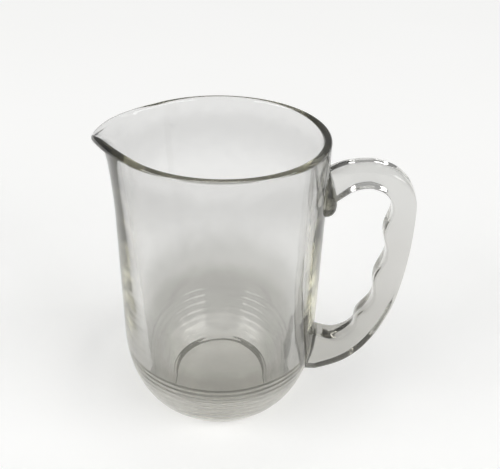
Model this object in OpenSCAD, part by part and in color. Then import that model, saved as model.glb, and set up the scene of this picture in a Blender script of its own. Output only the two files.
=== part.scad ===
// Clear pressed glass pitcher with a pulled spout, a ringed heel and a welded finger-grip handle.
// Millimetres, +Z up. The origin is the middle of the foot, on the table.
// The handle points along +X and the spout along -X.

/* [Vessel] */
// Height of the rim above the table
rim_h = 168; // [130:1:220]
// Outer radius of the wall at the rim
rim_r = 58; // [46:0.5:80]
// Outer radius of the wall where the heel begins
heel_r = 57; // [46:0.5:80]
// Thickness of the wall at the rim
wall = 4.6; // [3.5:0.1:7]
// Thickness of the wall where the inside begins to slope to its floor
heel_wall = 11; // [6:0.5:14]
// Height above the table at which the inside begins to slope to its floor
inside_heel_h = 36; // [26:0.5:60]
// Thickness of the glass under the inside floor
floor_t = 6; // [5:0.5:14]
// Radius of the level part of the inside floor
inside_level_r = 28; // [20:0.5:31]
// How far the slope from the inside floor to the wall bows out of a straight line
inside_bow = 1.4; // [0:0.1:4]

/* [Heel and foot] */
// Height above the table at which the wall turns into the heel
heel_h = 48.5; // [36:0.5:70]
// Radius at which the heel's curve would run level
heel_level_r = 20; // [10:0.5:30]
// Depth below the table at which the heel's curve would run level
heel_sink = 5.5; // [3:0.5:12]
// Fullness of the heel's curve, where 2 is an ellipse
heel_power = 2.2; // [2:0.05:2.8]
// Number of rings pressed round the inside slope
ring_n = 8; // [4:1:12]
// Height of a ring above the grooves beside it
ring_depth = 0.35; // [0.1:0.05:0.6]
// Width of the ring that the pitcher stands on
foot_land = 9; // [5:0.5:14]
// Height of the hollow under the foot
foot_hollow = 1.6; // [0.8:0.1:3]

/* [Spout] */
// How far the spout's tip stands out from the wall
spout_reach = 11; // [4:0.5:18]
// How far the spout's tip hangs below the rim
spout_droop = 3.5; // [0:0.5:6]
// Height of the pulled part of the wall, below the rim
spout_h = 42; // [25:1:60]
// Angle from the spout's middle to the end of its flank, in degrees
spout_half_angle = 44; // [30:1:70]
// Angle over which the spout's tip is rounded, in degrees
spout_tip_angle = 4; // [2:0.5:12]

/* [Handle] */
// How far the back of the handle stands out from the wall
handle_reach = 48; // [42:1:70]
// How far the upper joint's middle lies below the rim
upper_joint_drop = 27; // [18:0.5:48]
// Height above the table of the lower joint's middle
lower_joint_h = 31.5; // [26:0.5:45]
// Thickness of the grip, from the back to the fingers
grip_t = 13.3; // [10:0.1:18]
// Width of the grip
grip_w = 16; // [12:0.5:22]
// Height of the ridges between the fingers
finger_ridge = 3; // [0.5:0.1:4]
// Thickness of the bar where it spreads onto the upper joint
upper_root_t = 18; // [15:0.5:24]
// Thickness of the bar where it spreads onto the lower joint
lower_root_t = 28.5; // [20:0.5:32]

/* [Handle pads] */
// Height of the pad of glass under the upper joint
upper_pad_h = 28; // [24:0.5:40]
// Width of the pad of glass under the upper joint
upper_pad_w = 22; // [19:0.5:30]
// Thickness of the pad of glass under the upper joint, at its foot
upper_pad_t = 8; // [4:0.5:10]
// Share of its thickness that the upper pad loses from its foot to its top
upper_pad_lean_share = 0.8; // [0:0.05:0.9]
// How far the upper pad hangs below the middle of its joint
upper_pad_drop = 3.5; // [0:0.5:8]
// Height of the pad of glass under the lower joint
lower_pad_h = 33; // [32:0.5:43]
// Width of the pad of glass under the lower joint
lower_pad_w = 21; // [19:0.5:30]
// Thickness of the pad of glass under the lower joint
lower_pad_t = 1.6; // [1.2:0.1:6]

/* [Hidden] */
$fn = 240;

// How deep the upper wall is worked into the pressed wall below it
weld_depth = 2;
// How far each face of the upper wall is drawn in at that weld
weld_inset = 0.2;

// Steps of the faceted shapes
wall_columns = 96;
wall_rows = 14;
rim_rows = 6;
ring_steps = 8;
curve_steps = 48;
bar_rings = 68;
bar_sides = 24;
pad_columns = 32;
pad_rows = 8;
// Share of a step between the two points that give a curve's slope
slope_share = 0.02;
// Powers of the spout's flank, its flare, its lip's curl and its droop, and the curl's share of the reach
flank_power = 1.7;
flare_power = 1.5;
curl_power = 12;
droop_power = 3;
curl_share = 0.58;
// How much closer the upper wall's points lie near the spout and near the lip
near_share = 0.6;
row_power = 1.6;
// Fullness of the bar's section, where 2 is an ellipse
bar_power = 4.5;
// Fullness of a pad's crown and of its outline, where 2 is an ellipse
pad_power = 2.4;
pad_plan_power = 2.8;
// How deep a pad's edge is worked into the vessel's skin
pad_seat = 0.4;

// Height at which the pulled upper wall begins
band_h = rim_h - spout_h;
// Radius of the rounded rim, and the height at which its rounding begins
rim_round = wall / 2;
rim_base = rim_h - rim_round;
heel_drop = heel_h + heel_sink;
curve_exp = 2 / heel_power;

// Outer radius of the plain wall at height z
function wall_r(z) = heel_r + (rim_r - heel_r) * (z - heel_h) / (rim_h - heel_h);
// Thickness of the wall at height z, which grows evenly from the rim down to the inside slope
function wall_t(z) = wall + (heel_wall - wall) * (rim_base - z) / (rim_base - inside_heel_h);
// Inner radius of the plain wall at height z
function inside_r(z) = wall_r(z) - wall_t(z);

// Point of the heel's outer curve at sweep angle t: 0 at the wall, 90 where it would run level
function heel_point(t) = [
    heel_level_r + (heel_r - heel_level_r) * pow(cos(t), curve_exp),
    heel_h - heel_drop * pow(sin(t), curve_exp)
];
// Sweep angle at which the heel's curve is at height z
function heel_angle(z) = asin(pow((heel_h - z) / heel_drop, 1 / curve_exp));
// Outer radius of the vessel at height z
function outside_r(z) = z >= heel_h ? wall_r(z) : heel_point(heel_angle(z))[0];

// Sweep angle at which the heel's curve reaches the table, and the radii of the foot and of its hollow
foot_angle = heel_angle(0);
foot_r = heel_point(foot_angle)[0];
hollow_r = foot_r - foot_land;

// Outline of the outside, from the wall at height top down to the foot
function outside_outline(top) = concat(
    [[wall_r(top), top]],
    [for (i = [0 : curve_steps]) heel_point(foot_angle * i / curve_steps)]
);
// Slope of the inside bottom, from the wall to the level floor, and the way out of the glass there
inside_top = [inside_r(inside_heel_h), inside_heel_h];
inside_run = [inside_level_r, floor_t] - inside_top;
inside_out = [inside_run[1], -inside_run[0]] / norm(inside_run);
// Point of the inside slope at share s, from the wall: each ring is a soft wave that stands out of the slope
function inside_point(s) = inside_top + inside_run * s
    + inside_out * (ring_depth * pow(sin(180 * ring_n * s), 2) - inside_bow * sin(180 * s));
// Outline of the inside, from the floor's middle up to height top
function inside_outline(top) = concat(
    [[0, floor_t]],
    [for (i = [ring_n * ring_steps : -1 : 0]) inside_point(i / (ring_n * ring_steps))],
    [[inside_r(top), top]]
);
// Outline of the hollow under the foot, which rises gently from its edge to its middle
function hollow_outline() = [
    for (i = [0 : ring_steps])
        let (s = i / ring_steps)
        [hollow_r * (1 - s), foot_hollow * pow(sin(90 * s), 2)]
];

// Share of the spout's full pull at angle a from its middle: 1 at the tip, 0 past the flank
function tip_distance(a) = sqrt(a * a + spout_tip_angle * spout_tip_angle) - spout_tip_angle;
function spout_plan(a) = pow(max(1 - tip_distance(a) / tip_distance(spout_half_angle), 0), flank_power);
// Share of the spout's full pull at share s up the band: a slow flare that curls over at the lip
function spout_rise(s) = (1 - curl_share) * pow(s, flare_power) + curl_share * pow(s, curl_power);

// Height at share s up the band, before the spout's pull
function band_z(s) = band_h + (rim_base - band_h) * s;
// Point on the middle of the upper wall, as radius and height, at angle a and share s up the band
function band_middle(a, s) =
    let (
        z = band_z(s),
        pull = spout_plan(a) * spout_rise(max(s, 0))
    )
    [wall_r(z) - wall_t(z) / 2 + spout_reach * pull, z - spout_droop * pow(pull, droop_power)];
// Unit vector up the upper wall at angle a and share s
function band_slope(a, s) =
    let (run = band_middle(a, s) - band_middle(a, s - slope_share))
    run / norm(run);
// Point at angle a that lies out from the middle of the wall, and up along it
function band_point(a, s, out, up) =
    let (
        slope = band_slope(a, s),
        p = band_middle(a, s) + [slope[1], -slope[0]] * out + slope * up
    )
    [-p[0] * cos(a), -p[0] * sin(a), p[1]];

// Shares up the band at which the upper wall has a row of points, closer together near the lip
weld_share = -weld_depth / (rim_base - band_h);
band_shares = concat(
    [weld_share],
    [for (i = [0 : wall_rows]) 1 - pow(1 - i / wall_rows, row_power)]
);
// Half the thickness of the upper wall at share s
function band_half(s) = wall_t(band_z(s)) / 2 - weld_inset * (1 - max(s, 0));
// Section of the upper wall at angle a: up the outside, over the rounded rim, down the inside
function band_section(a) = concat(
    [for (s = band_shares) band_point(a, s, band_half(s), 0)],
    [for (i = [1 : rim_rows - 1])
        let (turn = 180 * i / rim_rows)
        band_point(a, 1, rim_round * cos(turn), rim_round * sin(turn))],
    [for (i = [len(band_shares) - 1 : -1 : 0])
        band_point(a, band_shares[i], -band_half(band_shares[i]), 0)]
);
// Angle from the spout of column i, closer together near the spout
function column_angle(i) =
    let (t = 2 * i / wall_columns - 1)
    180 * t * (near_share + (1 - near_share) * t * t);

// Closed ring of sections: each section is a loop of points, and the last section meets the first
module closed_ring(sections) {
    count = len(sections);
    side = len(sections[0]);
    polyhedron(
        points = [for (section = sections, p = section) p],
        faces = [
            for (i = [0 : count - 1], j = [0 : side - 1])
                let (
                    a = i * side + j,
                    b = i * side + (j + 1) % side,
                    c = ((i + 1) % count) * side + (j + 1) % side,
                    d = ((i + 1) % count) * side + j
                )
                each [[a, b, c], [a, c, d]]
        ]
    );
}

// Closed bar of sections: the first and the last section are capped
module capped_bar(sections) {
    count = len(sections);
    side = len(sections[0]);
    polyhedron(
        points = [for (section = sections, p = section) p],
        faces = concat(
            [for (i = [0 : count - 2], j = [0 : side - 1])
                let (
                    a = i * side + j,
                    b = (i + 1) * side + j,
                    c = (i + 1) * side + (j + 1) % side,
                    d = i * side + (j + 1) % side
                )
                each [[a, b, c], [a, c, d]]],
            [[for (j = [0 : side - 1]) j]],
            [[for (j = [side - 1 : -1 : 0]) (count - 1) * side + j]]
        )
    );
}

// The vessel's outside as a full solid, which the pads and the handle are cut to
module outside_solid() {
    rotate_extrude()
        polygon(concat(outside_outline(rim_h), [[0, 0], [0, rim_h]]));
}

// Pressed vessel: foot, ringed heel and wall turned as one, with the pulled rim above
module body() {
    color("gainsboro")
    union() {
        rotate_extrude()
            polygon(concat(
                outside_outline(band_h),
                hollow_outline(),
                inside_outline(band_h)
            ));
        closed_ring([for (i = [0 : wall_columns - 1]) band_section(column_angle(i))]);
    }
}

// Middle line of the handle: shares of its reach and of the height between its two joints
spine_shares = [
    [-0.32, 0.94],
    [0, 1],
    [0.25, 1.055],
    [0.5, 1.075],
    [0.67, 1.065],
    [0.81, 1.04],
    [0.93, 0.99],
    [0.99, 0.915],
    [1, 0.785],
    [0.99, 0.65],
    [0.95, 0.5],
    [0.88, 0.355],
    [0.76, 0.225],
    [0.63, 0.135],
    [0.48, 0.07],
    [0.27, 0.02],
    [0, 0],
    [-0.32, 0]
];
spine_reach = handle_reach - grip_t / 2;
upper_joint_h = rim_h - upper_joint_drop;
joint_span = upper_joint_h - lower_joint_h;
spine = [
    for (s = spine_shares)
        [rim_r + spine_reach * s[0], lower_joint_h + joint_span * s[1]]
];
spine_last = len(spine) - 1;

// Point at u on a smooth curve through the spine's points, where u counts the points
function spine_point(u) =
    let (
        i = min(floor(u), spine_last - 1),
        f = u - i,
        p0 = spine[max(i - 1, 0)],
        p1 = spine[i],
        p2 = spine[i + 1],
        p3 = spine[min(i + 2, spine_last)]
    )
    (p1 * 2 + (p2 - p0) * f + (p0 * 2 - p1 * 5 + p2 * 4 - p3) * f * f
        + (p1 * 3 - p0 - p2 * 3 + p3) * f * f * f) / 2;
function spine_normal(u) =
    let (run = spine_point(min(u + slope_share, spine_last)) - spine_point(max(u - slope_share, 0)))
    [-run[1], run[0]] / norm(run);

// Spine counts at which the row of finger ridges begins and ends, and the number of ridges
ridges_from = 7.1;
ridges_to = 13;
ridge_n = 3;
// Spine counts at which the two roots have spread out fully and begin to, and the powers of their spread
upper_root = 1;
upper_spread = 3.3;
upper_spread_power = 2;
lower_root = spine_last - 1;
lower_spread = 11;
lower_spread_power = 3;

// Height of the finger ridges at u, as a row of waves
function ridge(u) =
    u <= ridges_from || u >= ridges_to ? 0
    : finger_ridge * pow(sin(180 * ridge_n * (u - ridges_from) / (ridges_to - ridges_from)), 2);
// Share from 0 to 1 at u, which grows as a power from start to end
function spread(u, start, end, power) = pow(min(max((u - start) / (end - start), 0), 1), power);
// Half the bar's thickness at u, without the ridges
function bar_half(u) = (grip_t
    + (upper_root_t - grip_t) * spread(u, upper_spread, upper_root, upper_spread_power)
    + (lower_root_t - grip_t) * spread(u, lower_spread, lower_root, lower_spread_power)) / 2;

// Sine or cosine c reshaped, so that a circle of them becomes a rounded oblong of that fullness
function rounded(c, power) = sign(c) * pow(abs(c), 2 / power);

// Section of the bar at u: a rounded oblong whose finger side carries the ridges
function bar_section(u) = [
    for (j = [0 : bar_sides - 1])
        let (
            a = -360 * j / bar_sides,
            across = rounded(cos(a), bar_power),
            side = rounded(sin(a), bar_power),
            depth = across < 0 ? bar_half(u) + ridge(u) : bar_half(u),
            p = spine_point(u) + spine_normal(u) * across * depth
        )
        [p[0], side * grip_w / 2, p[1]]
];

// Dome of glass that stands t out of the vessel at height z, thinner towards its top, and reaches into it
module dome(z, high, wide, t, lean_share) {
    capped_bar([
        for (i = [0 : pad_rows])
            let (
                s = i == 0 ? 1 : cos(90 * (i - 1) / pad_rows),
                rise = i == 0 ? 0 : pow(1 - pow(s, pad_power), 1 / pad_power)
            )
            [for (j = [0 : pad_columns - 1])
                let (
                    a = 360 * j / pad_columns,
                    y = wide / 2 * s * rounded(cos(a), pad_plan_power),
                    up = high / 2 * s * rounded(sin(a), pad_plan_power),
                    skin = sqrt(pow(outside_r(z + up), 2) - y * y),
                    crown = (t + pad_seat) * rise * (1 - lean_share * (up + high / 2) / high)
                )
                [i == 0 ? skin - wall : skin - pad_seat + crown, y, z + up]]
    ]);
}

module upper_dome() {
    dome(upper_joint_h - upper_pad_drop, upper_pad_h, upper_pad_w, upper_pad_t, upper_pad_lean_share);
}

module lower_dome() {
    dome(lower_joint_h, lower_pad_h, lower_pad_w, lower_pad_t, 0);
}

// Flattened pad of glass under the handle's upper end
module upper_handle_pad() {
    color("darkkhaki")
    difference() {
        upper_dome();
        outside_solid();
    }
}

// Flattened pad of glass under the handle's lower end
module lower_handle_pad() {
    color("darkkhaki")
    difference() {
        lower_dome();
        outside_solid();
    }
}

// Solid bar with finger wells, bent over and welded to its two pads
module handle() {
    color("lightgray")
    difference() {
        capped_bar([
            for (i = [0 : bar_rings])
                bar_section(spine_last * i / bar_rings)
        ]);
        outside_solid();
        upper_dome();
        lower_dome();
    }
}

body();
handle();
upper_handle_pad();
lower_handle_pad();
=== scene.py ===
import bpy
import numpy as np
from mathutils import Matrix


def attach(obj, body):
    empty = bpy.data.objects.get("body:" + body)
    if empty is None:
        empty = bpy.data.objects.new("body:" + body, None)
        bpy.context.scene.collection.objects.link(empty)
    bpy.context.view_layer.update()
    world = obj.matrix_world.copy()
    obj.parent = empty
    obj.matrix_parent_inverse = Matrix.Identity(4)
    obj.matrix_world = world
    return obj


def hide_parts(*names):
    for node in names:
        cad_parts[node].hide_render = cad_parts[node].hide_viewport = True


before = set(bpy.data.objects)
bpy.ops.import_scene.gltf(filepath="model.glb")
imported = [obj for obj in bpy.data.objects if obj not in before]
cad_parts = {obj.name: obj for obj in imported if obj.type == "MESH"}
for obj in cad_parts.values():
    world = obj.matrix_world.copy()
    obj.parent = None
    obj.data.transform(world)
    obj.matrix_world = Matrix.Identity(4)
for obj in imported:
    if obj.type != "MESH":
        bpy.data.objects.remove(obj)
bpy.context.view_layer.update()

# Body: the vessel, pressed from clear soda-lime glass by a ringed plunger, in one piece with its foot.
# Its rim is fire-polished round, and the spout was pulled out of the wall while that was still hot.
MM = 0.001
rim_h = 168
rim_r = 58
heel_r = 57
wall = 4.6
heel_wall = 11
floor_t = 6
inside_heel_h = 36
inside_level_r = 28
inside_bow = 1.4
heel_h = 48.5
heel_level_r = 20
heel_sink = 5.5
heel_power = 2.2
ring_n = 8
ring_depth = 0.35
foot_land = 9
foot_hollow = 1.6
spout_reach = 11
spout_droop = 3.5
spout_h = 42
spout_half_angle = 44
spout_tip_angle = 4
flank_power = 1.7
flare_power = 1.5
curl_power = 12
curl_share = 0.58
droop_power = 3
slope_share = 0.02

curve = 2 / heel_power
heel_drop = heel_h + heel_sink
band_h = rim_h - spout_h
rim_round = wall / 2
rim_base = rim_h - rim_round

# Columns round the vessel, closer near the spout, and rows of each stretch of its outline.
body_columns = 320
near_share = 0.6
ring_steps = 16
straight_rows = 10
band_rows = 30
band_row_power = 1.6
rim_rows = 15
heel_rows = 64
hollow_rows = 16
floor_shares = np.array([0.4, 0.8, 0.96, 0.99])
rise_shares = np.array([0.005, 0.02])
land_shares = np.array([0.02, 0.06, 0.5, 0.94, 0.98, 1])


def wall_r(z):
    """Outer radius of the plain wall at height z: a straight line from the heel to the rim."""
    return heel_r + (rim_r - heel_r) * (z - heel_h) / (rim_h - heel_h)


def wall_t(z):
    """Thickness of the wall at height z: it grows evenly from the rim down to the inside slope."""
    return wall + (heel_wall - wall) * (rim_base - z) / (rim_base - inside_heel_h)


def heel_point(t):
    """Radius and height on the heel's outer curve, a quarter of a full ellipse.
    The sweep angle t is 0 at the wall and 90 where the curve would run level."""
    c, s = np.cos(np.radians(t)), np.sin(np.radians(t))
    return np.stack([heel_level_r + (heel_r - heel_level_r) * c**curve, heel_h - heel_drop * s**curve], -1)


def heel_angle(z):
    """Sweep angle at which the heel's curve is at height z, the inverse of heel_point."""
    return np.degrees(np.arcsin(np.clip((heel_h - z) / heel_drop, 0, 1) ** (1 / curve)))


def outside_r(z):
    """Outer radius at height z, on the wall or on the heel."""
    return np.where(z >= heel_h, wall_r(z), heel_point(heel_angle(z))[..., 0])


def inside_slope():
    """Radii and heights of the inside bottom, from the level floor up to the wall.
    It is a slope that bows out a little, with the rings as soft waves that stand out of it."""
    s = np.linspace(1, 0, ring_n * ring_steps + 1)[:, None]
    top = np.array([wall_r(inside_heel_h) - wall_t(inside_heel_h), inside_heel_h])
    run = np.array([inside_level_r, floor_t]) - top
    out = np.array([run[1], -run[0]]) / np.linalg.norm(run)
    waves = ring_depth * np.sin(np.pi * ring_n * s) ** 2
    return top + run * s + out * (waves - inside_bow * np.sin(np.pi * s))


def spout_pull(a, s):
    """Share of the spout's pull at angle a from its tip and share s up the band.
    It is a flank, which falls off to both sides, times a flare that curls over at the lip."""
    def far(angle):
        return np.sqrt(angle**2 + spout_tip_angle**2) - spout_tip_angle
    flank = np.clip(1 - far(a) / far(spout_half_angle), 0, 1) ** flank_power
    up = np.clip(s, 0, 1)
    return flank * ((1 - curl_share) * up**flare_power + curl_share * up**curl_power)


def band_middle(a, s):
    """Radius and height of the middle of the upper wall, drawn out and down by the spout's pull."""
    z = band_h + (rim_base - band_h) * s
    pull = spout_pull(a, s)
    return np.stack([wall_r(z) - wall_t(z) / 2 + spout_reach * pull, z - spout_droop * pull**droop_power], -1)


def band(a, s, out, up):
    """Radius and height of a point off the middle of the upper wall.
    It lies out and up from it by shares of half the wall's thickness, across and along its slope."""
    slope = band_middle(a, s) - band_middle(a, s - slope_share)
    slope /= np.linalg.norm(slope, axis=-1)[..., None]
    across = np.stack([slope[..., 1], -slope[..., 0]], -1)
    half = wall_t(band_h + (rim_base - band_h) * s) / 2
    return band_middle(a, s) + across * (half * out)[..., None] + slope * (half * up)[..., None]


def closed_skin(name, rings, first, last):
    """Closed mesh of a stack of rings of points.
    Each ring joins the next, and a fan to one point closes each end."""
    rows, columns = rings.shape[:2]
    points = np.concatenate([[first], rings.reshape(-1, 3), [last]]) * MM
    this = np.arange(columns)
    following = (this + 1) % columns
    start = 1 + columns * np.arange(rows - 1)[:, None]
    sides = [start + this, start + columns + this, start + columns + following, start + following]
    end = 1 + columns * (rows - 1)
    faces = np.stack([np.zeros_like(this), 1 + this, 1 + following], -1).tolist()
    faces += np.stack(sides, -1).reshape(-1, 4).tolist()
    faces += np.stack([np.full_like(this, end + columns), end + following, end + this], -1).tolist()
    mesh = bpy.data.meshes.new(name)
    mesh.from_pydata(points.tolist(), [], faces)
    mesh.polygons.foreach_set("use_smooth", np.ones(len(mesh.polygons), bool))
    piece = bpy.data.objects.new(name, mesh)
    bpy.context.scene.collection.objects.link(piece)
    return piece


def body_rings():
    """Rings of the vessel: an outline turned round the axis, with the spout's pull in its upper wall.
    They run from the inside floor up the wall, over the rim, down the outside and under the foot."""
    t = np.linspace(-1, 1, body_columns, endpoint=False)
    a = 180 * t * (near_share + (1 - near_share) * t**2)
    s = 1 - (1 - np.linspace(0, 1, band_rows)) ** band_row_power
    turn = np.radians(np.linspace(180, 0, rim_rows))[1:-1]
    s_rows = np.concatenate([s, np.ones_like(turn), s[::-1]])
    out_rows = np.concatenate([np.full_like(s, -1), np.cos(turn), np.ones_like(s)])
    up_rows = np.concatenate([np.zeros_like(s), np.sin(turn), np.zeros_like(s)])
    upper = band(a[None, :], s_rows[:, None], out_rows[:, None], up_rows[:, None])

    level = floor_shares * inside_level_r
    share = np.linspace(0, 1, straight_rows)[1:-1]
    rise = inside_heel_h + (band_h - inside_heel_h) * np.concatenate([rise_shares, share])
    inner = np.concatenate([
        np.stack([level, np.full_like(level, floor_t)], -1),
        inside_slope(),
        np.stack([wall_r(rise) - wall_t(rise), rise], -1),
    ])
    heights = heel_h + (band_h - heel_h) * share[::-1]
    foot_angle = heel_angle(0)
    land = heel_point(foot_angle)[0] - foot_land * land_shares
    hollow = np.linspace(0, 1, hollow_rows)[1:-1]
    outer = np.concatenate([
        np.stack([wall_r(heights), heights], -1),
        heel_point(np.linspace(0, foot_angle, heel_rows)),
        np.stack([land, np.zeros_like(land)], -1),
        np.stack([land[-1] * (1 - hollow), foot_hollow * np.sin(np.pi / 2 * hollow) ** 2], -1),
    ])
    inner, outer = (np.repeat(part[:, None], body_columns, 1) for part in (inner, outer))
    r, z = np.moveaxis(np.concatenate([inner, upper, outer]), -1, 0)
    a = np.radians(a)
    return np.stack([-r * np.cos(a), -r * np.sin(a), z], -1)


def linear(colour):
    """Linear RGBA of an sRGB hex colour."""
    c = np.array([int(colour[i:i + 2], 16) / 255 for i in (0, 2, 4)])
    c = np.where(c <= 0.04045, c / 12.92, ((c + 0.055) / 1.055) ** 2.4)
    return (*c.tolist(), 1.0)


def node(tree, kind, inputs=(), **settings):
    """Adds a node with its settings. Each input is given a value, or an output that is linked to it."""
    made = tree.nodes.new(kind)
    for key, value in settings.items():
        setattr(made, key, value)
    for key, value in dict(inputs).items():
        if isinstance(value, bpy.types.NodeSocket):
            tree.links.new(value, made.inputs[key])
        else:
            made.inputs[key].default_value = value
    return made


def soda_lime_glass(name, ripple_mm, ripple_depth_mm, density, shade_tones, haze_and_shade_noise_mm=9):
    """Clear soda-lime glass: bright and see-through, and olive where it is looked through lengthwise.
    It has the slow ripple that the mould and the fire polish leave, and a faint haze from washing.
    Its colour is painted shade given by height, darker where shadow is seen through the glass, and the haze's
    noise shifts it a little."""
    material = bpy.data.materials.new(name)
    material.use_nodes = True
    tree = material.node_tree
    tree.nodes.clear()
    place = node(tree, "ShaderNodeTexCoord").outputs["Object"]
    ripple = node(tree, "ShaderNodeTexNoise", {
        "Vector": place, "Scale": 1 / (ripple_mm * MM), "Detail": 1.0})
    haze_and_shade_noise = node(tree, "ShaderNodeTexNoise", {"Vector": place, "Scale": 1 / (haze_and_shade_noise_mm * MM), "Detail": 4.0})
    bump = node(tree, "ShaderNodeBump", {
        "Height": ripple.outputs["Fac"], "Strength": 1.0, "Distance": ripple_depth_mm * MM})
    haze = node(tree, "ShaderNodeMapRange", {
        "Value": haze_and_shade_noise.outputs["Fac"], "From Min": 0.35, "From Max": 0.75, "To Min": 0.0, "To Max": 0.03})
    height = node(tree, "ShaderNodeSeparateXYZ", {"Vector": place})
    level = node(tree, "ShaderNodeMapRange", {"Value": height.outputs["Z"], "From Max": rim_h * MM})
    cloud = node(tree, "ShaderNodeMapRange", {
        "Value": haze_and_shade_noise.outputs["Fac"], "To Min": -0.03, "To Max": 0.03})
    cloudy = node(tree, "ShaderNodeMath", {
        0: level.outputs["Result"], 1: cloud.outputs["Result"]}, use_clamp=True)
    # Painted shade: this colour ramp darkens the glass by height, standing in for shadow seen through it.
    tone = node(tree, "ShaderNodeValToRGB", {"Fac": cloudy.outputs[0]})
    tone.color_ramp.interpolation = "EASE"
    stops = tone.color_ramp.elements
    stops.remove(stops[1])
    for tone_h, colour in shade_tones.items():
        stops.new(tone_h / rim_h).color = linear(colour)
    stops.remove(stops[0])
    glass = node(tree, "ShaderNodeBsdfPrincipled", {
        "Base Color": tone.outputs["Color"], "Roughness": haze.outputs["Result"],
        "Normal": bump.outputs["Normal"], "IOR": 1.52, "Transmission Weight": 1.0})
    depth = node(tree, "ShaderNodeVolumeAbsorption", {"Color": linear("A09D7C"), "Density": density})
    node(tree, "ShaderNodeOutputMaterial", {
        "Surface": glass.outputs["BSDF"], "Volume": depth.outputs["Volume"]})
    return material


# Painted shade by height in the body's colour: darkest from 16 to 40 mm, where the pitcher's own shadow on
# the paper is seen through the lower glass, and a little darker below the rim.
body_shade_tones = {
    6: "F8F7F4", 16: "C1C0BC", 40: "B9B8B4", 58: "DADAD8",
    85: "FEFEFE", 120: "F4F4F4", 152: "E0E0E0", 164: "EEEEEE",
}
body = closed_skin("body_glass", body_rings(), (0, 0, floor_t), (0, 0, foot_hollow))
body.data.materials.append(soda_lime_glass(
    "pressed_soda_lime_glass", ripple_mm=30, ripple_depth_mm=0.12, density=5.5, shade_tones=body_shade_tones))
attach(body, "root")
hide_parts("body")

# Handle pads: two gathers of the same glass, pressed flat on the wall while soft, to take the handle's ends.
# The upper one hangs like a tongue below its joint, and its glass is full of colour and looks dark olive.
# The lower one is thin and shows as a collar.
upper_joint_h = 141
lower_joint_h = 31.5
upper_pad_drop = 3.5
pad_seat = 0.4
pad_bury = 0.8
pad_power = 2.4
pad_plan_power = 2.8
pad_columns = 96
pad_rows = 40
pads = {
    "upper_handle_pad": {
        "middle_h": upper_joint_h - upper_pad_drop, "high": 28, "wide": 22, "thick": 8, "lean": 0.8},
    "lower_handle_pad": {
        "middle_h": lower_joint_h, "high": 33, "wide": 21, "thick": 1.6, "lean": 0},
}


def rounded(c, power):
    """Sine or cosine reshaped, so that a circle of them becomes a rounded oblong of that fullness."""
    return np.sign(c) * np.abs(c) ** (2 / power)


def wall_face(y, z):
    """Distance along X from the axis to the vessel's skin at a side place y and a height z."""
    return np.sqrt(outside_r(z) ** 2 - y**2)


def pad_face(pad, y, z):
    """Distance along X to a pad's face: a crown that falls to the skin at the pad's oblong outline.
    It leans, so that it is thinner at the top."""
    up = (z - pad["middle_h"]) / pad["high"]
    across = np.abs(2 * y / pad["wide"]) ** pad_plan_power
    share = np.clip((across + np.abs(2 * up) ** pad_plan_power) ** (1 / pad_plan_power), 0, 1)
    crown = (1 - share**pad_power) ** (1 / pad_power) * (1 - pad["lean"] * (0.5 + up))
    return wall_face(y, z) - pad_seat + (pad["thick"] + pad_seat) * crown


def pad_rings(pad):
    """Rings of a pad, from the crown's middle out to its edge, and back behind the vessel's skin.
    The hidden back has a third of the rings."""
    turn = np.linspace(0, 2 * np.pi, pad_columns, endpoint=False)
    share = np.sin(np.linspace(0, np.pi / 2, pad_rows))[1:, None]
    y = share * pad["wide"] / 2 * rounded(np.cos(turn), pad_plan_power)
    z = pad["middle_h"] + share * pad["high"] / 2 * rounded(np.sin(turn), pad_plan_power)
    front = np.stack([pad_face(pad, y, z), y, z], -1)
    back = np.stack([wall_face(y, z) - pad_bury, y, z], -1)[::-3]
    return np.concatenate([front, back])


# The pads take the body's painted shade by height in their colour.
pad_glass = {
    "upper_handle_pad": soda_lime_glass(
        "gathered_soda_lime_glass", ripple_mm=12, ripple_depth_mm=0.1, density=84.0, shade_tones=body_shade_tones),
    "lower_handle_pad": soda_lime_glass(
        "pressed_out_soda_lime_glass", ripple_mm=12, ripple_depth_mm=0.1, density=5.0, shade_tones=body_shade_tones),
}
for pad_name, pad in pads.items():
    centre = np.array([0, 0, pad["middle_h"]])
    crown = centre + (float(pad_face(pad, 0, pad["middle_h"])), 0, 0)
    behind = centre + (float(wall_face(0, pad["middle_h"])) - pad_bury, 0, 0)
    piece = closed_skin(pad_name + "_glass", pad_rings(pad), crown, behind)
    piece.data.materials.append(pad_glass[pad_name])
    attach(piece, "root")
    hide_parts(pad_name)

# Handle: a solid bar drawn from the same glass, and pressed with three finger ridges on its inner side.
# It was bent over while soft, and its two spread ends are fused to the pads on the wall.
handle_reach = 48
grip_t = 13.3
grip_w = 16
finger_ridge = 3
upper_root_t = 18
lower_root_t = 28.5
bar_power = 4.5
bar_rows = 300
bar_sides = 80
end_rows = 9
halvings = 30
fuse = 0.2
spine_shares = np.array([
    [-0.32, 0.94], [0, 1], [0.25, 1.055], [0.5, 1.075], [0.67, 1.065], [0.81, 1.04],
    [0.93, 0.99], [0.99, 0.915], [1, 0.785], [0.99, 0.65], [0.95, 0.5], [0.88, 0.355],
    [0.76, 0.225], [0.63, 0.135], [0.48, 0.07], [0.27, 0.02], [0, 0], [-0.32, 0],
])
spine_size = np.array([handle_reach - grip_t / 2, upper_joint_h - lower_joint_h])
spine = np.array([rim_r, lower_joint_h]) + spine_shares * spine_size
spine_last = len(spine) - 1

# Counts along the spine's points: the row of ridges, where each root starts to spread and is full,
# and a stretch at each end that starts inside the pad and ends clear of it.
ridge_n = 3
ridges_from = 7.1
ridges_to = 13
upper_spread = 3.3
upper_root = 1
upper_spread_power = 2
lower_spread = 11
lower_root = spine_last - 1
lower_spread_power = 3
upper_buried, upper_free = 0, 3
lower_buried, lower_free = spine_last, 14.5


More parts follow.
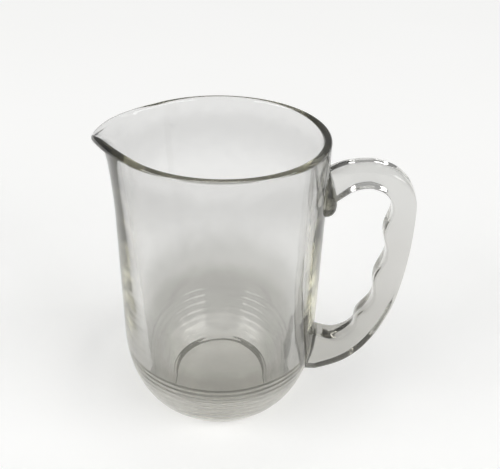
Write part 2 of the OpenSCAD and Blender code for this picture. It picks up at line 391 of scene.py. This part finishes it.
def spine_point(u):
    """Smooth curve through the spine's points in the XZ plane (Catmull-Rom), where u counts the points."""
    i = np.clip(np.floor(u).astype(int), 0, spine_last - 1)
    f = (u - i)[..., None]
    p0, p1, p2, p3 = (spine[np.clip(i + k, 0, spine_last)] for k in (-1, 0, 1, 2))
    square = 2 * p0 - 5 * p1 + 4 * p2 - p3
    cube = 3 * p1 - p0 - 3 * p2 + p3
    return (2 * p1 + (p2 - p0) * f + square * f**2 + cube * f**3) / 2


def along_share(u, start, end):
    """Share from 0 to 1 of the way from start to end at u."""
    return np.clip((u - start) / (end - start), 0, 1)


def bar(u, turn):
    """Point of the bar's skin: a rounded oblong round the spine.
    It grows thicker as a power of the way to each root, and has waves as ridges on the finger side."""
    run = spine_point(np.minimum(u + slope_share, spine_last)) - spine_point(np.maximum(u - slope_share, 0))
    run /= np.linalg.norm(run, axis=-1)[..., None]
    upper = along_share(u, upper_spread, upper_root) ** upper_spread_power
    lower = along_share(u, lower_spread, lower_root) ** lower_spread_power
    half = (grip_t + (upper_root_t - grip_t) * upper + (lower_root_t - grip_t) * lower) / 2
    ridge = finger_ridge * np.sin(ridge_n * np.pi * along_share(u, ridges_from, ridges_to)) ** 2
    across = rounded(np.cos(turn), bar_power)
    lift = across * np.where(across < 0, half + ridge, half)
    side = np.broadcast_to(grip_w / 2 * rounded(np.sin(turn), bar_power), lift.shape)
    middle = spine_point(u)
    return np.stack([middle[..., 0] - run[..., 1] * lift, side, middle[..., 1] + run[..., 0] * lift], -1)


def landing(pad, buried, free):
    """Counts u at which the bar's long lines meet a pad.
    The stretch from buried to free is halved until it has closed on the pad's face."""
    buried, free = np.full(bar_sides, float(buried)), np.full(bar_sides, float(free))
    for _ in range(halvings):
        middle = (buried + free) / 2
        point = bar(middle, bar_turn)
        under = point[:, 0] < pad_face(pad, point[:, 1], point[:, 2]) - fuse
        buried, free = np.where(under, middle, buried), np.where(under, free, middle)
    return free


def end_rings(pad, edge):
    """Rings that close an end of the bar along a pad's face, from near its middle out to its edge."""
    share = np.linspace(0, 1, end_rows)[1:-1, None, None]
    rings = edge.mean(0) + (edge - edge.mean(0)) * share
    rings[..., 0] = pad_face(pad, rings[..., 1], rings[..., 2]) - fuse
    return rings


def end_middle(pad, edge):
    """Middle point of an end of the bar, on the pad's face."""
    middle = edge.mean(0)
    return np.array([pad_face(pad, middle[1], middle[2]) - fuse, middle[1], middle[2]])


upper_pad, lower_pad = pads["upper_handle_pad"], pads["lower_handle_pad"]
bar_turn = np.linspace(0, 2 * np.pi, bar_sides, endpoint=False)
upper_u = landing(upper_pad, upper_buried, upper_free)
lower_u = landing(lower_pad, lower_buried, lower_free)
along = (1 - np.cos(np.linspace(0, np.pi, bar_rows)))[:, None] / 2
long_rings = bar(upper_u + (lower_u - upper_u) * along, bar_turn[None, :])
upper_end = end_rings(upper_pad, long_rings[0])
lower_end = end_rings(lower_pad, long_rings[-1])[::-1]
handle = closed_skin(
    "handle_glass",
    np.concatenate([upper_end, long_rings, lower_end]),
    end_middle(upper_pad, long_rings[0]),
    end_middle(lower_pad, long_rings[-1]),
)
# Painted shade by height in the handle's colour: darker towards its lower end.
handle_shade_tones = {20: "CDCCC8", 60: "D3D2CF", 95: "DDDCDA", 145: "E5E5E4"}
handle.data.materials.append(soda_lime_glass(
    "drawn_soda_lime_glass", ripple_mm=18, ripple_depth_mm=0.01, density=5.0, shade_tones=handle_shade_tones))
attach(handle, "root")
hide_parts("handle")

# Table: a sheet of matt white paper under and behind the pitcher, which keeps its shadow.
# It is a little uneven in tone, as uncoated paper is, and is lifted towards white where it is seen.
paper_half = 20
paper_drop = 0.1 * MM
paper_cloud_mm = 300
paper_lift = 0.21
paper_mesh = bpy.data.meshes.new("paper")
corners = np.array([[-1, -1], [1, -1], [1, 1], [-1, 1]]) * paper_half
paper_mesh.from_pydata([(x, y, -paper_drop) for x, y in corners], [], [(0, 1, 2, 3)])
paper = bpy.data.objects.new("paper", paper_mesh)
bpy.context.scene.collection.objects.link(paper)
matt_paper = bpy.data.materials.new("uncoated_white_paper")
matt_paper.use_nodes = True
paper_tree = matt_paper.node_tree
paper_tree.nodes.clear()
paper_place = node(paper_tree, "ShaderNodeTexCoord").outputs["Object"]
paper_cloud = node(paper_tree, "ShaderNodeTexNoise", {
    "Vector": paper_place, "Scale": 1 / (paper_cloud_mm * MM), "Detail": 3.0})
paper_tone = node(paper_tree, "ShaderNodeMix", {
    "Factor": paper_cloud.outputs["Fac"], "A": linear("F6F6F5"), "B": linear("F3F3F1")}, data_type="RGBA")
rays = node(paper_tree, "ShaderNodeLightPath").outputs
mirrored = node(paper_tree, "ShaderNodeMath", {
    0: rays["Is Camera Ray"], 1: rays["Is Glossy Ray"]}, operation="MAXIMUM")
seen = node(paper_tree, "ShaderNodeMath", {
    0: mirrored.outputs[0], 1: rays["Is Transmission Ray"]}, operation="MAXIMUM")
lift = node(paper_tree, "ShaderNodeMath", {0: seen.outputs[0], 1: paper_lift}, operation="MULTIPLY")
paper_shader = node(paper_tree, "ShaderNodeBsdfPrincipled", {
    "Base Color": paper_tone.outputs["Result"], "Roughness": 1.0, "Specular IOR Level": 0.0,
    "Emission Color": linear("FFFFFF"), "Emission Strength": lift.outputs[0]})
node(paper_tree, "ShaderNodeOutputMaterial", {"Surface": paper_shader.outputs["BSDF"]})
paper_mesh.materials.append(matt_paper)

# Light: two wide softboxes, low at the left and right in front of the pitcher, in a plain grey studio.
# They stand far off, so that the paper is lit evenly, and each shows as a patch of light in the rings.
# Light crosses many walls of glass, so it has many bounces, and none is blurred.
lamp_distance = 8.0
light_bounces = 64


def softbox(name, azimuth, elevation, width, height, power):
    """Area lamp that faces the pitcher from an azimuth, 0 in front and 90 to the right, and an elevation."""
    lamp = bpy.data.lights.new(name, "AREA")
    lamp.shape = "RECTANGLE"
    lamp.size, lamp.size_y = width, height
    lamp.energy = power
    holder = bpy.data.objects.new(name, lamp)
    a, e = np.radians([azimuth, elevation])
    back = np.array([np.sin(a) * np.cos(e), -np.cos(a) * np.cos(e), np.sin(e)])
    right = np.array([np.cos(a), np.sin(a), 0])
    turn = np.stack([right, np.cross(back, right), back], -1)
    holder.matrix_world = Matrix.Translation(back * lamp_distance) @ Matrix(turn.tolist()).to_4x4()
    bpy.context.scene.collection.objects.link(holder)


softbox("left_softbox", azimuth=-60, elevation=34, width=6.0, height=2.4, power=230)
softbox("right_softbox", azimuth=64, elevation=34, width=7.0, height=2.4, power=275)
world = bpy.data.worlds.new("studio")
world.use_nodes = True
world_tree = world.node_tree
world_tree.nodes.clear()
look = node(world_tree, "ShaderNodeTexCoord").outputs["Generated"]
look_up = node(world_tree, "ShaderNodeSeparateXYZ", {"Vector": look})
glow = node(world_tree, "ShaderNodeMapRange", {
    "Value": look_up.outputs["Z"], "To Min": 0.28, "To Max": 0.5})
studio = node(world_tree, "ShaderNodeBackground", {
    "Color": linear("FFFFFF"), "Strength": glow.outputs["Result"]})
node(world_tree, "ShaderNodeOutputWorld", {"Surface": studio.outputs["Background"]})
bpy.context.scene.world = world
bpy.context.scene.view_settings.view_transform = "Standard"
bpy.context.scene.cycles.blur_glossy = 0
bpy.context.scene.cycles.max_bounces = light_bounces
bpy.context.scene.cycles.transmission_bounces = light_bounces
bpy.context.scene.cycles.glossy_bounces = light_bounces

# Camera: near the pitcher and a little above its rim, looking down on it.
# Its place and turn were found by fitting the rim, the wall and the heel to the picture.
picture_w = 500
focal_px = 720
camera_at = (0.03660, -0.34820, 0.31322)
yaw, pitch, roll = np.radians([-3.306, 30.559, 1.691])
camera_data = bpy.data.cameras.new("camera")
camera_data.sensor_width = 36
camera_data.lens = camera_data.sensor_width * focal_px / picture_w
camera = bpy.data.objects.new("camera", camera_data)
forward = np.array([np.sin(yaw) * np.cos(pitch), np.cos(yaw) * np.cos(pitch), -np.sin(pitch)])
level_right = np.array([np.cos(yaw), -np.sin(yaw), 0])
level_up = np.cross(level_right, forward)
camera_right = np.cos(roll) * level_right + np.sin(roll) * level_up
camera_up = np.cos(roll) * level_up - np.sin(roll) * level_right
camera_turn = Matrix(np.stack([camera_right, camera_up, -forward], -1).tolist()).to_4x4()
camera.matrix_world = Matrix.Translation(camera_at) @ camera_turn
bpy.context.scene.collection.objects.link(camera)
bpy.context.scene.camera = camera
